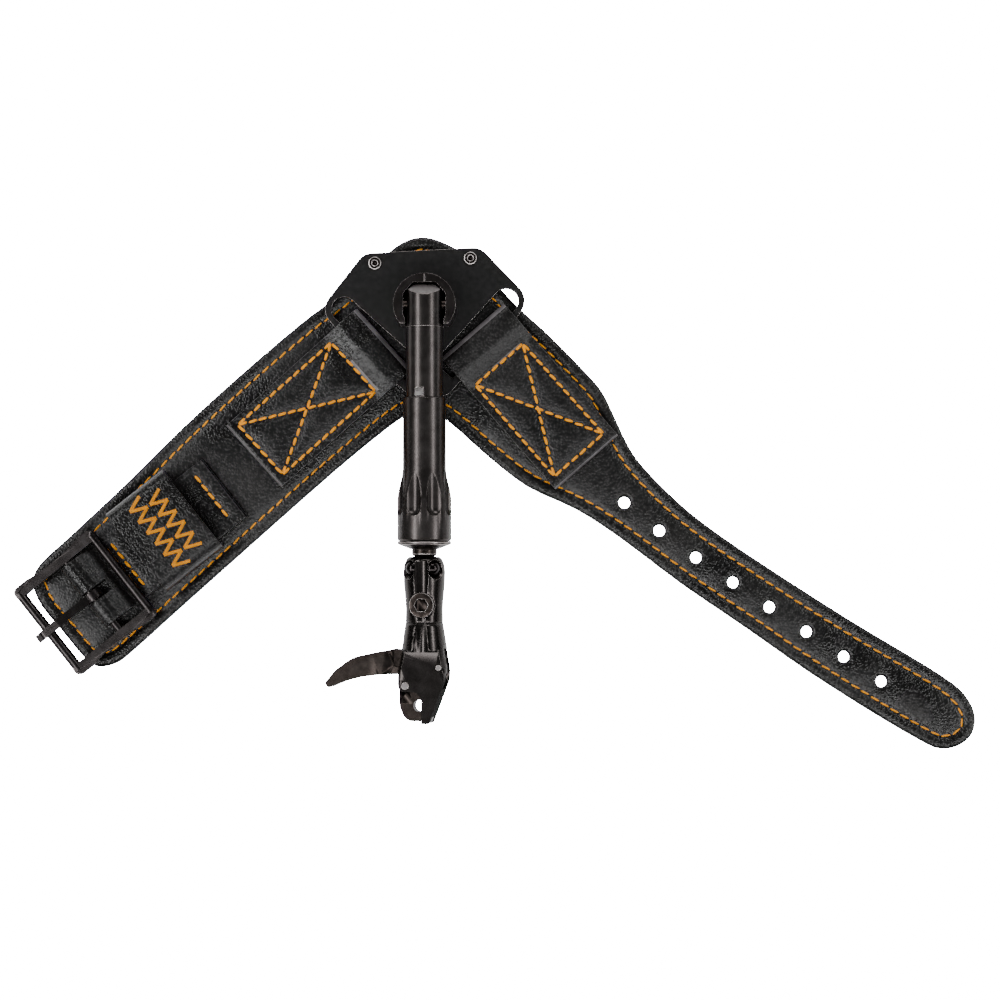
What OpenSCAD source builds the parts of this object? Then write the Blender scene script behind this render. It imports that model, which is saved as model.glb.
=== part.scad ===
// Archery wrist release: buckle strap, connector plate, folding stem and caliper head.
// Millimetres. The strap lies flat on z = 0, the stem points along -Y, +Z is away from the wrist.
// The origin is on the strap's wrist side, straight below the middle of the turret.

/* [Strap] */
// Thickness of the soft lining against the wrist
liner_t = 1.2; // [0.8:0.1:2]
// Thickness of the outer leather with its padding
shell_t = 2.4; // [2:0.1:4]
// Thickness of the foam pads inside the outer leather
pad_t = 1.2; // [0.8:0.1:1.4]
// Distance from the strap's edge to the foam
pad_inset = 6.5; // [5:0.5:9]
// Diameter of the adjusting holes in the tongue
tongue_hole_d = 3; // [2:0.1:4]
// Width of the leather tabs that carry the plate
tab_w = 21.5; // [18:0.5:23]
// Thickness of a doubled tab
tab_t = 2.8; // [2.2:0.1:3.4]

/* [Buckle] */
// Width of the buckle frame, across the strap
buckle_w = 28.2; // [26:0.2:32]
// Length of the buckle frame, along the strap
buckle_len = 26.8; // [24:0.2:30]
// Thickness of the frame's bars
buckle_bar_d = 2.6; // [2:0.1:3]
// Width of the fixed leather piece that holds the buckle
buckle_tab_w = 19; // [16:0.5:21]
// Outer width of the keeper loop
keeper_w = 25.3; // [24:0.1:28]
// Length of the keeper loop along the strap
keeper_len = 18.6; // [12:0.2:20]
// Free height inside the keeper loop, above the leather
keeper_gap = 5; // [4.5:0.1:7]

/* [Connector] */
// Thickness of the connector plate
plate_t = 1.8; // [1.4:0.1:2.4]
// Thickness of the backing plate under it
back_t = 0.9; // [0.6:0.1:1]
// Distance between the two plate rivets
rivet_pitch = 24.9; // [22:0.1:27]
// Diameter of the turret
turret_d = 16; // [15:0.5:18]
// Height of the stem's hinge pin above the wrist side
pivot_z = 14; // [14:0.1:16]
// Diameter of the hinge pin
fold_pin_d = 2.6; // [2:0.1:3]

/* [Stem] */
// How far the stem points down from level, in degrees
stem_droop = 2.5; // [0:0.1:3]
// Diameter of the stem tube
stem_d = 9.5; // [8.5:0.1:9.6]
// Distance from the hinge pin to the rear end of the barrel
barrel_y = 23.8; // [23.5:0.1:26]
// Diameter of the barrel at its thick end
barrel_d = 14; // [13.4:0.1:15]
// Number of flutes round the barrel
flute_count = 8; // [6:1:10]
// Diameter of the cutter that makes the flutes
flute_d = 4.8; // [4:0.1:5]

/* [Release head] */
// How far the head is turned about the stem, in degrees
head_roll = 9; // [0:1:20]
// Width of the slot that the trigger and the hook move in
slot_w = 4.3; // [4:0.1:5]
// Thickness of the housing across its flats
head_t = 8.6; // [8:0.1:9]
// Diameter of the trigger's pivot pin
trigger_pin_d = 1.6; // [1.4:0.1:2]
// Diameter of the hook's pivot pin
hook_pin_d = 2.1; // [1.8:0.1:2.2]

/* [Hidden] */
$fn = 48;

gap = 0.05;                       // clearance between pieces that are fastened together
fit = 0.05;                       // radial clearance of a running fit
leather_top = liner_t + shell_t;
back_z = leather_top + gap;
plate_z = back_z + back_t + gap;
plate_top = plate_z + plate_t;
washer_z = plate_top + gap;
washer_t = 0.4;
turret_z = washer_z + washer_t + gap;
turret_top = pivot_z + fold_pin_d / 2 + 0.9;
turret_floor = 1.5;
plate_turn = 3;                   // the plate and strap stand this far round from the stem
spindle_r = 2.4;

// Fold and slot of the leather tabs, as distances from the turret centre along each tab
slot_near = 11.25;
slot_w_plate = 6.5;
slot_n0 = -9;
slot_n1 = 18.6;

// Outline of the leather, clockwise from the rounded top behind the plate
strap_points = [
  [-2.6, 18.6], [1.6, 18.5], [6, 16.8], [10, 14.3], [17, 8], [24.5, 0.2], [32.2, -6.8],
  [41.7, -16.5], [46.2, -21.8], [49.5, -28.5], [52.7, -35.3], [56.7, -41.2], [66.3, -50.9],
  [76.9, -59.2], [93.8, -70.5], [110.9, -81.4], [122.6, -88.4], [134.2, -95.5], [140, -100.2],
  [142.8, -105.6], [142.1, -110.6], [138.6, -113.8], [133.8, -114.6], [129, -112.6],
  [117.3, -105.8], [100, -94.8], [83.6, -83.3], [66.9, -71.9], [50.7, -59.7], [39.2, -52.3],
  [26.6, -46.4], [16, -38.2], [5.8, -29.2], [0, -26.6], [-5.6, -28], [-19.4, -38.8],
  [-34.3, -51.8], [-49.1, -65], [-63.2, -77.6], [-75.6, -88.8], [-80.4, -92.4], [-85.4, -93.2],
  [-89.2, -90.2], [-94.4, -83.9], [-99.6, -77.7], [-102, -72.2], [-101.2, -68.2],
  [-98, -64.4], [-93.2, -60.1], [-78.2, -46], [-63.6, -31.5], [-48.5, -17.6], [-33, -4.3],
  [-25.5, 1.4], [-17, 8], [-11, 13.6], [-6.6, 17]
];
tongue_holes = [
  [51.9, -50.6], [61, -57.9], [70.5, -64.9], [80.1, -71.4],
  [89.6, -77.8], [99.2, -84.2], [108.9, -90.7], [118.6, -97.1]
];

// Stations along the stem, measured from the hinge pin
tube_y0 = 5.5;
tube_end = 52;
barrel_r0 = 5.55;
flare_y0 = 42.2;
flare_y1 = 50;
flute_end = 54.7;
snap_y = 27;
snap_r = 0.2;
barrel_end = 60.9;
neck_y = 63.1;
neck_end = 64.8;
neck_r = 3.25;
stud_r = 2.6;
stud_end = 72.4;
ball_y = 68;
ball_r = 2;
ball_rho = 3.45;
yoke_y0 = 65;
seam_y = 81.8;
screw_y = 77.4;
tube_bore_r = 2.9;

// Pivots in the release head
trigger_pivot = [4.38, -93.5];
hook_pivot = [-4.35, -98.2];
slot_top_y = -85.6;
blade_t = slot_w - 0.3;

// The buckle stands round from +X by this angle, and tips down by buckle_tip
buckle_turn = 218.4;
buckle_at = [-85.8, -75];
buckle_z = 6.9;
buckle_tip = 6.6;
bar_u0 = -10.7;
center_bar_r = 1.15;
fold_t = 1.3;
tab_top = 6.3;

// ---------- shared shapes ----------

// One point of a smooth closed curve through four neighbours
function curve_point(a, b, c, d, t) =
  0.5 * ((2 * b) + (c - a) * t + (2 * a - 5 * b + 4 * c - d) * t * t
         + (3 * b - a - 3 * c + d) * t * t * t);

// A smooth closed outline through a list of points, with some steps between each pair
function smooth(p, steps = 3) =
  [for (i = [0 : len(p) - 1]) for (k = [0 : steps - 1])
    curve_point(p[(i + len(p) - 1) % len(p)], p[i], p[(i + 1) % len(p)],
                p[(i + 2) % len(p)], k / steps)];

function unit(v) = v / norm(v);

// The arc that rounds one corner b between its neighbours a and c
function corner(a, b, c, r, n = 6) =
  let (u = unit(a - b),
       w = unit(c - b),
       half = acos(u * w) / 2,
       mid = b + unit(u + w) * r / sin(half),
       start = b + u * r / tan(half) - mid,
       turn = (u[0] * w[1] - u[1] * w[0] > 0 ? -1 : 1) * (180 - 2 * half))
  [for (k = [0 : n])
    let (s = turn * k / n)
    mid + [start[0] * cos(s) - start[1] * sin(s), start[0] * sin(s) + start[1] * cos(s)]];

// A polygon of [x, y, corner radius] entries
function rounded(p) =
  [for (i = [0 : len(p) - 1])
    let (a = p[(i + len(p) - 1) % len(p)],
         b = p[i],
         c = p[(i + 1) % len(p)])
    each (b[2] > 0
      ? corner([a[0], a[1]], [b[0], b[1]], [c[0], c[1]], b[2])
      : [[b[0], b[1]]])];

// Places children in the frame of the stem, whose axis is -Y from the hinge pin
module on_stem() {
  translate([0, 0, pivot_z]) rotate([stem_droop, 0, 0]) children();
}

// Places children in the frame of the release head, turned about the stem
module on_head() {
  on_stem() rotate([0, -head_roll, 0]) children();
}

// A solid of revolution about the stem, from a profile of [radius, distance] points
module turned(profile) {
  rotate([90, 0, 0]) rotate_extrude($fn = 72) polygon(profile);
}

// A cylinder along the stem between two distances
module along(r, y0, y1) {
  translate([0, -y0, 0]) rotate([90, 0, 0]) cylinder(r = r, h = y1 - y0);
}

// A cylinder along Z at a point of the head, centred on the stem axis
module across(at, r, h) {
  translate([at[0], at[1], -h / 2]) cylinder(r = r, h = h);
}

// A coil of round wire along Z, with a six-sided wire and twelve rings to the turn
module coil(r, wire_r, h, turns) {
  sides = 6;
  rings = turns * 12;
  points = [for (i = [0 : rings]) for (k = [0 : sides - 1])
    let (turn = 360 * turns * i / rings,
         rho = r + wire_r * cos(60 * k))
    [rho * cos(turn), rho * sin(turn), h * i / rings + wire_r * sin(60 * k)]];
  walls = [for (i = [0 : rings - 1]) for (k = [0 : sides - 1])
    let (a = i * sides + k,
         b = i * sides + (k + 1) % sides)
    each [[a, b + sides, a + sides], [a, b, b + sides]]];
  polyhedron(points, concat(walls, [[for (k = [sides - 1 : -1 : 0]) k]],
             [[for (k = [0 : sides - 1]) rings * sides + k]]));
}

// Places children in a leather tab's frame: X away from the turret, Y across the tab
module at_tab(turn, side) {
  rotate([0, 0, turn]) translate([0, side, 0]) children();
}

// Places children in the buckle's frame: X towards the strap's end, Y across the strap
module at_buckle(side = 0) {
  translate([buckle_at[0], buckle_at[1], 0]) rotate([0, 0, buckle_turn])
    translate([0, side, 0]) children();
}

// Extrudes a side view, X along and Y up, across a width centred on Y = 0
module side_view(width) {
  translate([0, width / 2, 0]) rotate([90, 0, 0]) linear_extrude(width) children();
}

// ---------- strap ----------

module strap_outline() {
  polygon(smooth(strap_points));
}

module pad_outline() {
  intersection() {
    offset(delta = -pad_inset) strap_outline();
    polygon([[-72, -100], [36, -100], [36, 30], [-72, 30]]);
  }
}

module tongue_bores() {
  for (p = tongue_holes)
    translate([p[0], p[1], -1]) cylinder(d = tongue_hole_d, h = leather_top + 2, $fn = 32);
}

module strap_liner() {
  color("dimgray") difference() {
    linear_extrude(liner_t) strap_outline();
    tongue_bores();
  }
}

module strap_padding() {
  color("gray") translate([0, 0, liner_t]) linear_extrude(pad_t) pad_outline();
}

module strap_shell() {
  color("black") difference() {
    translate([0, 0, liner_t]) linear_extrude(shell_t) strap_outline();
    translate([0, 0, liner_t - 1]) linear_extrude(pad_t + 1) pad_outline();
    tongue_bores();
  }
}

// A strip of leather folded over the plate's bar and sewn back on itself
module folded_tab(tab_len, fold_x) {
  low = leather_top + gap;
  side_view(tab_w) difference() {
    polygon(rounded([
      [fold_x, low, 0.9], [tab_len, low, 0.3], [tab_len, low + tab_t, 1],
      [fold_x + 11.5, low + tab_t, 6], [fold_x + 6.5, plate_top + 1.6, 4],
      [fold_x, plate_top + 1.6, 2.4]
    ]));
    translate([fold_x + 1.8, plate_z - gap]) square([6.6, plate_t + 2 * gap]);
  }
}

module left_tab() {
  color("black") at_tab(222, -0.9) folded_tab(59, 13.3);
}

module right_tab() {
  color("black") at_tab(-49, 5.3) folded_tab(58, 12.6);
}

// ---------- buckle end ----------

keeper_side = -1.8;
keeper_u0 = -34.4;
buckle_tab_side = -1;

module buckle_tab() {
  low = leather_top + gap;
  base = 0.9;
  r_in = center_bar_r + fit;
  r_out = r_in + fold_t;
  color("black") at_buckle(buckle_tab_side) difference() {
    side_view(buckle_tab_w) difference() {
      union() {
        polygon(rounded([
          [-44, low, 0.3], [0, low, 0], [0, buckle_z, 0], [0.2, buckle_z + r_out - 0.1, 0],
          [-2.4, buckle_z + r_out - 0.6, 1.5], [-7.5, tab_top, 3], [-44, tab_top, 1]
        ]));
        translate([0, buckle_z]) circle(r = r_out);
      }
      translate([0, buckle_z]) circle(r = r_in);
      translate([keeper_u0 - 0.3, low - 1])
        square([keeper_len + 0.6, 1 + base + 2 * gap]);
    }
    translate([-5.2, -1.65 - buckle_tab_side, low + 0.8]) cube([9, 3.3, 9]);
  }
}

module keeper_loop() {
  low = leather_top + gap;
  top = tab_top + keeper_gap;
  wall = 1.5;
  color("black") at_buckle(keeper_side) translate([keeper_u0, 0, 0])
    rotate([90, 0, 90]) linear_extrude(keeper_len) difference() {
      polygon(rounded([
        [-keeper_w / 2, low, 1], [keeper_w / 2, low, 1],
        [keeper_w / 2, top + wall, 3.4], [-keeper_w / 2, top + wall, 3.4]
      ]));
      polygon(rounded([
        [wall - keeper_w / 2, low + 0.9, 0.4], [keeper_w / 2 - wall, low + 0.9, 0.4],
        [keeper_w / 2 - wall, top, 2.2], [wall - keeper_w / 2, top, 2.2]
      ]));
    }
}

// Tips children with the buckle about its centre bar
module tipped() {
  at_buckle() translate([0, 0, buckle_z]) rotate([0, buckle_tip, 0]) children();
}

module buckle_frame() {
  half = buckle_w / 2;
  far = bar_u0 + buckle_len;
  r = buckle_bar_d / 2;
  skin = 0.12;                    // the side bars are this much flatter than the end bars
  color("#1b1b1d") tipped() difference() {
    union() {
      for (u = [bar_u0 + r, far - r])
        translate([u, half - 1.4, 0]) rotate([90, 0, 0]) cylinder(r = r, h = buckle_w - 2.8);
      for (side = [-1, 1]) difference() {
        translate([0, 0, skin - r]) linear_extrude(2 * (r - skin)) polygon(rounded([
          [bar_u0 + skin, side * half, 1.6], [far - skin, side * half, 1.6],
          [far - skin, side * (half - 3), 0.8], [bar_u0 + skin, side * (half - 3), 0.8]
        ]));
        translate([(bar_u0 + far) / 2, side * (half + 43.2), -5]) cylinder(r = 44, h = 10, $fn = 120);
      }
    }
    rotate([90, 0, 0]) cylinder(r = center_bar_r, h = buckle_w - 2.4, center = true);
  }
}

module buckle_bar() {
  color("#1b1b1d") tipped()
    rotate([90, 0, 0]) cylinder(r = center_bar_r, h = buckle_w - 2.5, center = true);
}

module buckle_prong() {
  r_in = center_bar_r + fit;
  w = 2.2;
  color("#1b1b1d") tipped() union() {
    difference() {
      rotate([90, 0, 0]) cylinder(r = r_in + 1.25, h = w, center = true);
      rotate([90, 0, 0]) cylinder(r = r_in, h = 2 * w, center = true);
    }
    side_view(w - 0.1) polygon(rounded([
      [0.3, 2, 0], [5.5, 2.9, 3], [11, 3.8, 3], [16.2, 3.7, 2], [18.6, 1.7, 0.6],
      [17.8, 0.9, 0.5], [15.4, 1.7, 1], [11.4, 1.6, 2], [6.5, 1, 2], [1.9, 0.4, 0]
    ]));
  }
}

// ---------- connector ----------

module rivet_places() {
  rotate([0, 0, plate_turn]) for (x = [-1, 1])
    translate([x * rivet_pitch / 2, 12.2, 0]) children();
}

module back_plate() {
  color("#161616") difference() {
    translate([0, 0, back_z]) rotate([0, 0, plate_turn]) linear_extrude(back_t)
      polygon(rounded([
        [15.5, 14.6, 3], [-15.5, 14.6, 3], [-15.5, 6, 3], [-6.5, -7.5, 3],
        [6.5, -7.5, 3], [15.5, 6, 3]
      ]));
    rivet_places() cylinder(r = 1.05, h = 20, $fn = 24);
    translate([0, 0, -1]) cylinder(r = spindle_r + 1.9, h = 20);
  }
}

module connector_plate() {
  color("#121212") difference() {
    translate([0, 0, plate_z]) rotate([0, 0, plate_turn]) linear_extrude(plate_t) difference() {
      polygon(rounded([
        [15.2, 14.9, 4.5], [-15.2, 14.9, 4.5], [-27.2, 1, 4.5], [-23, -4.86, 3],
        [-4.6, -23.26, 3], [4.6, -23.26, 3], [23, -4.86, 3], [27.2, 1, 4.5]
      ]));
      for (side = [-1, 1])
        scale_x(side) rotate(-45) translate([slot_near, slot_n0])
          polygon(rounded([
            [0, 0, 0.8], [slot_w_plate, 0, 0.8],
            [slot_w_plate, slot_n1 - slot_n0, 3.2], [0, slot_n1 - slot_n0, 3.2]
          ]));
    }
    rivet_places() cylinder(r = 1.05, h = 20, $fn = 24);
    translate([0, 0, -1]) cylinder(r = spindle_r + gap, h = 20);
  }
}

// Mirrors children to the left side when side is -1
module scale_x(side) {
  mirror([side < 0 ? 1 : 0, 0, 0]) children();
}

module plate_rivets() {
  color("silver") rivet_places() difference() {
    union() {
      translate([0, 0, back_z]) cylinder(r = 1, h = plate_top - back_z + 0.3, $fn = 32);
      translate([0, 0, plate_top + gap]) cylinder(r = 1.7, h = 0.55, $fn = 32);
    }
    translate([0, 0, plate_top - 0.4]) cylinder(r = 0.6, h = 2, $fn = 24);
  }
}

module turret_spindle() {
  color("silver") union() {
    translate([0, 0, back_z]) cylinder(r = spindle_r + 1.7, h = back_t);
    translate([0, 0, back_z]) cylinder(r = spindle_r, h = turret_z + turret_floor - 0.6 - back_z);
    translate([0, 0, turret_z + turret_floor - 0.65]) cylinder(r = spindle_r + 1, h = 0.6);
  }
}

module turret_washer() {
  color("silver") translate([0, 0, washer_z]) difference() {
    cylinder(r = turret_d / 2 - 0.9, h = washer_t);
    translate([0, 0, -1]) cylinder(r = spindle_r + gap, h = washer_t + 2);
  }
}

module turret() {
  h = turret_top - turret_z;
  color("#1c1a1a") translate([0, 0, turret_z]) difference() {
    cylinder(d = turret_d, h = h, $fn = 96);
    translate([0, 0, turret_floor]) linear_extrude(h) polygon([
      [-4.95, -9], [4.95, -9], [4.95, -4.2], [5.5, -2.6], [5.5, 2.8], [2.9, 5.7],
      [-2.9, 5.7], [-5.5, 2.8], [-5.5, -2.6], [-4.95, -4.2]
    ]);
    translate([-9, -10, -1]) cube([18, 4.9, h + 2]);
    translate([0, 0, -1]) cylinder(r = spindle_r + fit, h = 5);
    translate([0, 0, turret_floor - 0.7]) cylinder(r = spindle_r + 1.1, h = 5);
    translate([-10, 0, pivot_z - turret_z]) rotate([0, 90, 0])
      cylinder(d = fold_pin_d, h = 20);
    translate([-0.15, 5.9, h - 0.25]) cube([0.3, 3, 1]);
  }
}

module fold_pin() {
  color("silver") translate([-7.3, 0, pivot_z]) rotate([0, 90, 0])
    cylinder(d = fold_pin_d, h = 14.6);
}

// ---------- stem ----------

module stem_knuckle() {
  r = stem_d / 2 - 0.05;
  color("#1c1a1a") on_stem() difference() {
    intersection() {
      along(r, -6, 5.4);
      union() {
        rotate([0, 90, 0]) cylinder(r = 5.2, h = 12, center = true, $fn = 64);
        translate([-6, -6, -6]) cube([12, 6, 12]);
      }
      translate([0, 0, -7]) linear_extrude(14) polygon([
        [-6, -6], [6, -6], [6, 1.9], [2.5, 5.4], [-2.5, 5.4], [-6, 1.9]
      ]);
    }
    translate([0, 2.6, r]) rotate([26, 0, 0]) translate([-6, 0, -8]) cube([12, 6, 10]);
    rotate([0, 90, 0]) cylinder(d = fold_pin_d + 2 * fit, h = 20, center = true);
    along(1.6, 3, 8);
  }
}

module stem_tube() {
  r = stem_d / 2;
  color("#1c1a1a") on_stem() difference() {
    union() {
      along(r, tube_y0, tube_end);
      along(1.55, 3.1, tube_y0 + 1);
    }
    along(tube_bore_r, tube_y0 + 8, tube_end + 1);
    for (k = [0 : 3])
      translate([-2.5, -23.7 - 6 * k, r - 0.5]) cube([2.5, 2.2, 2]);
  }
}

// Profile of the barrel's outside, as [radius, distance] points
barrel_profile = [
  [stem_d / 2 + fit, barrel_y], [barrel_r0 - 0.3, barrel_y], [barrel_r0, barrel_y + 0.3],
  [barrel_r0 + 0.05, flare_y0], [barrel_r0 + 0.25, flare_y0 + 2], [barrel_r0 + 1.15, flare_y1 - 2],
  [barrel_d / 2, flare_y1], [barrel_d / 2, barrel_end - 0.5], [barrel_d / 2 - 0.2, barrel_end],
  [4, barrel_end], [4, barrel_end - 4], [stem_d / 2 + fit, barrel_end - 4]
];

module barrel() {
  flute_r = flute_d / 2;
  rho = barrel_r0 + 0.15 + flute_r;
  color("#1c1a1a") on_stem() difference() {
    turned(barrel_profile);
    for (k = [0 : flute_count - 1])
      rotate([0, (k + 0.5) * 360 / flute_count, 0]) translate([rho, 0, 0]) union() {
        along(flute_r, flare_y0 - 6, flute_end - flute_r);
        translate([0, flute_r - flute_end, 0]) sphere(r = flute_r);
      }
    snap_groove(snap_r + gap);
  }
}

// A ring of round section inside the barrel's rear end
module snap_groove(r) {
  on_axis = stem_d / 2 + fit + snap_r;
  translate([0, -snap_y, 0]) rotate([90, 0, 0]) rotate_extrude($fn = 72)
    translate([on_axis, 0]) circle(r = r, $fn = 24);
}

module snap_ring() {
  color("silver") on_stem() snap_groove(snap_r);
}

module barrel_end_ring() {
  color("#1c1a1a") on_stem() turned([
    [2.95, barrel_end - 3.8], [3.95, barrel_end - 3.8], [3.95, barrel_end + gap],
    [6.75, barrel_end + gap], [barrel_d / 2, barrel_end + 0.35], [barrel_d / 2 - 0.1, barrel_end + 0.9],
    [3.6, neck_y], [2.95, neck_y]
  ]);
}

module neck_stud() {
  color("#3a3836") on_stem() turned([
    [0, barrel_end - 5], [2.9, barrel_end - 5], [2.9, neck_y + gap], [neck_r, neck_y + gap],
    [neck_r, neck_end - 0.5], [neck_r - 0.3, neck_end], [stud_r, neck_end + 0.1],
    [stud_r, ball_y - 1.9], [ball_rho - ball_r - 0.1, ball_y - 0.9],
    [ball_rho - ball_r - 0.1, ball_y + 0.9], [stud_r, ball_y + 1.9],
    [stud_r, stud_end - 0.5], [stud_r - 0.5, stud_end], [0, stud_end]
  ]);
}

// ---------- release head ----------

// Long shallow channel in the front and back of the head
module head_channels() {
  for (side = [-1, 1])
    scale([1, 1, side]) translate([0, -66, 7.1]) rotate([90 - 1.6, 0, 0])
      cylinder(r = 3, h = 32);
}

module head_yoke() {
  color("#242120") on_head() difference() {
    turned([
      [stud_r + fit, yoke_y0], [3.9, yoke_y0], [4.6, yoke_y0 + 0.6], [5.2, 67], [5.42, 69],
      [5.3, 72], [4.95, 76], [4.78, 78.5], [4.85, seam_y], [0, seam_y], [0, stud_end + 0.2],
      [stud_r + fit, stud_end + 0.2]
    ]);
    head_channels();
    for (k = [0 : 3]) rotate([0, 45 + 90 * k, 0]) translate([0, -ball_y, 0]) {
      cylinder(r = ball_r + gap, h = 8, $fn = 48);
      translate([0, 0, 4.4]) cylinder(r1 = ball_r + gap, r2 = 3.4, h = 1.6, $fn = 48);
    }
    along(2.4, 74, seam_y + 1);
    across([0, -screw_y], 1.65, 20);
    translate([0, -screw_y, 2.6]) cylinder(r = 3.35, h = 8);
    translate([0, -screw_y, -8]) cylinder(r = 2.2, h = 4.6);
  }
}

module retaining_balls() {
  color("#141414") on_head() for (k = [0 : 3])
    rotate([0, 45 + 90 * k, 0]) translate([0, -ball_y, ball_rho]) sphere(r = ball_r, $fn = 40);
}

module head_screw() {
  color("#4a4a4a") on_head() translate([0, -screw_y, 0]) difference() {
    union() {
      translate([0, 0, -3.3]) cylinder(r = 1.6, h = 6);
      translate([0, 0, 2.65]) cylinder(r = 3.2, h = 2.2);
    }
    translate([0, 0, 3.4]) cylinder(r = 1.85, h = 3, $fn = 6);
  }
}

// Plan view of the housing, with its fixed nose
housing_plan = [
  [-4.85, -seam_y - 0.08, 0], [-5.6, -86.5, 20], [-6.3, -92.5, 8], [-6.35, -98.2, 3],
  [-5.4, -99.7, 1], [-1.5, -99.8, 1.5], [-0.1, -101.4, 0.6], [-0.1, -108, 0.25],
  [1.75, -108, 0.4], [5.9, -97, 3], [6.35, -94.6, 4], [6.1, -91, 8], [5.6, -86.5, 20],
  [4.85, -seam_y - 0.08, 0]
];

// The slot that the hook and the trigger move in
module housing_slot() {
  translate([0, 0, -slot_w / 2]) linear_extrude(slot_w) polygon([
    [-8, slot_top_y + 1.2], [-5, slot_top_y], [1.8, slot_top_y], [8, -90.4],
    [8, -99], [-0.2, -99], [-0.2, -110], [-8, -110]
  ]);
}

module housing() {
  color("#0e0d0d") on_head() difference() {
    union() {
      intersection() {
        turned([
          [0, seam_y + 0.08], [4.85, seam_y + 0.08], [5.6, 86.5], [6.3, 91], [7.2, 96],
          [7.8, 108.5], [0, 108.5]
        ]);
        translate([0, 0, -6]) linear_extrude(12) polygon(rounded(housing_plan));
      }
      along(2.35, 74.2, seam_y + 1);
    }
    for (side = [-1, 1])
      scale([1, 1, side]) translate([-10, -110, head_t / 2]) cube([20, 20.5, 6]);
    head_channels();
    housing_slot();
    translate([0, 0, -slot_w / 2 + gap]) linear_extrude(slot_w - 2 * gap)
      polygon([[-0.2, -98.9], [2.4, -98.9], [2.4, -110], [-0.2, -110]]);
    across([0, -screw_y], 1.65, 20);
    across(trigger_pivot, trigger_pin_d / 2, 20);
    across(hook_pivot, hook_pin_d / 2, 20);
  }
}

module fixed_jaw() {
  color("#2a2726") on_head() translate([0, 0, -(slot_w - 4 * gap) / 2])
    linear_extrude(slot_w - 4 * gap) polygon(rounded([
      [-0.05, -99.2, 0], [2.3, -99.2, 0], [2.3, -106.2, 0], [1.7, -107.9, 0.3], [-0.05, -107.9, 0.2]
    ]));
}

hook_spring_h = 0.9;

module hook_jaw() {
  color("#3b3431") on_head() difference() {
    translate([0, 0, -blade_t / 2]) linear_extrude(blade_t) difference() {
      union() {
        translate(hook_pivot) circle(r = 1.85);
        polygon(rounded([
          [-6.2, -98.2, 0], [-6.2, -103.4, 4.6], [-4.6, -107.4, 3], [-0.4, -107.4, 0.2],
          [-0.4, -104.9, 0.2], [-0.6, -100.4, 0.3], [-3.2, -99.7, 0.6], [-2.6, -98.2, 0]
        ]));
      }
      hull() {
        translate([-1.15, -103.55]) circle(r = 1.35, $fn = 32);
        translate([-1.15, -103.2]) circle(r = 1.35, $fn = 32);
        translate([0, -103.4]) square([1, 2.6], center = true);
      }
    }
    across(hook_pivot, hook_pin_d / 2 + fit, 20);
    translate([hook_pivot[0], hook_pivot[1], blade_t / 2 - hook_spring_h - 0.2])
      cylinder(r = 2, h = 2);
  }
}

module hook_pin() {
  color("silver") on_head() across(hook_pivot, hook_pin_d / 2, head_t + 0.1);
}

module trigger_pin() {
  color("silver") on_head() across(trigger_pivot, trigger_pin_d / 2, head_t + 0.1);
}

roller_at = [-1.2, -95.35];
roller_r = 0.7;

// Outline of the trigger from its pivot to the finger tip
trigger_points = [
  [4.6, -92, 0.6], [0.6, -91.2, 2], [-4.4, -89.2, 2], [-7.6, -88.7, 1], [-9.4, -89.2, 1.5],
  [-13.6, -89.9, 12], [-18.4, -91, 8], [-22.9, -94.3, 8], [-25.7, -97.7, 0.7],
  [-24.6, -98.9, 0.7], [-20.6, -97.2, 12], [-15.9, -96, 20], [-11.1, -95.4, 20],
  [-7, -95.3, 1], [-2.4, -95, 1], [4.4, -95, 0.5]
];

module trigger() {
  color("#2e2a29") on_head() difference() {
    union() {
      translate([0, 0, -blade_t / 2]) linear_extrude(blade_t) polygon(rounded(trigger_points));
      across(trigger_pivot, 1.5, blade_t);
      translate([0, 0, -3.1]) linear_extrude(6.2) polygon(rounded([
        [-9.2, -89.1, 1], [-13.6, -89.9, 12], [-18.4, -91, 8], [-22.9, -94.3, 8],
        [-25.7, -97.7, 0.7], [-24.6, -98.9, 0.7], [-20.6, -97.2, 12], [-15.9, -96, 20],
        [-11.1, -95.4, 20], [-8.4, -95.3, 1], [-7.6, -92.9, 1]
      ]));
    }
    across(trigger_pivot, trigger_pin_d / 2 + fit, 20);
    across(roller_at, roller_r, 20);
  }
}

module sear_roller() {
  color("silver") on_head() across(roller_at, roller_r, blade_t);
}

module trigger_spring() {
  wire_r = 0.22;
  seat_y = -89.9;
  color("silver") on_head() translate([-0.9, seat_y + wire_r, 0]) rotate([-90, 0, 0])
    coil(1.3, wire_r, slot_top_y - seat_y - 2 * wire_r - gap, 4);
}

module hook_spring() {
  color("silver") on_head()
    translate([hook_pivot[0], hook_pivot[1], blade_t / 2 - hook_spring_h])
      coil(1.45, 0.14, hook_spring_h - 0.16, 2);
}

// ---------- assembly ----------

strap_liner();
strap_padding();
strap_shell();
left_tab();
right_tab();
buckle_tab();
keeper_loop();
buckle_frame();
buckle_bar();
buckle_prong();
back_plate();
connector_plate();
plate_rivets();
turret_spindle();
turret_washer();
turret();
fold_pin();
stem_knuckle();
stem_tube();
barrel();
snap_ring();
barrel_end_ring();
neck_stud();
head_yoke();
retaining_balls();
head_screw();
housing();
fixed_jaw();
hook_jaw();
hook_pin();
hook_spring();
trigger();
trigger_pin();
sear_roller();
trigger_spring();
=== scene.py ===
"""Looks of an archery wrist release: stitched leather strap, connector plate, stem and release head."""
from __future__ import annotations

import logging
import math
import random
from dataclasses import dataclass, field
from enum import Enum
from typing import Callable, Iterable

import bmesh
import bpy
import numpy as np
from mathutils import Matrix, Vector
from mathutils.bvhtree import BVHTree


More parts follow.
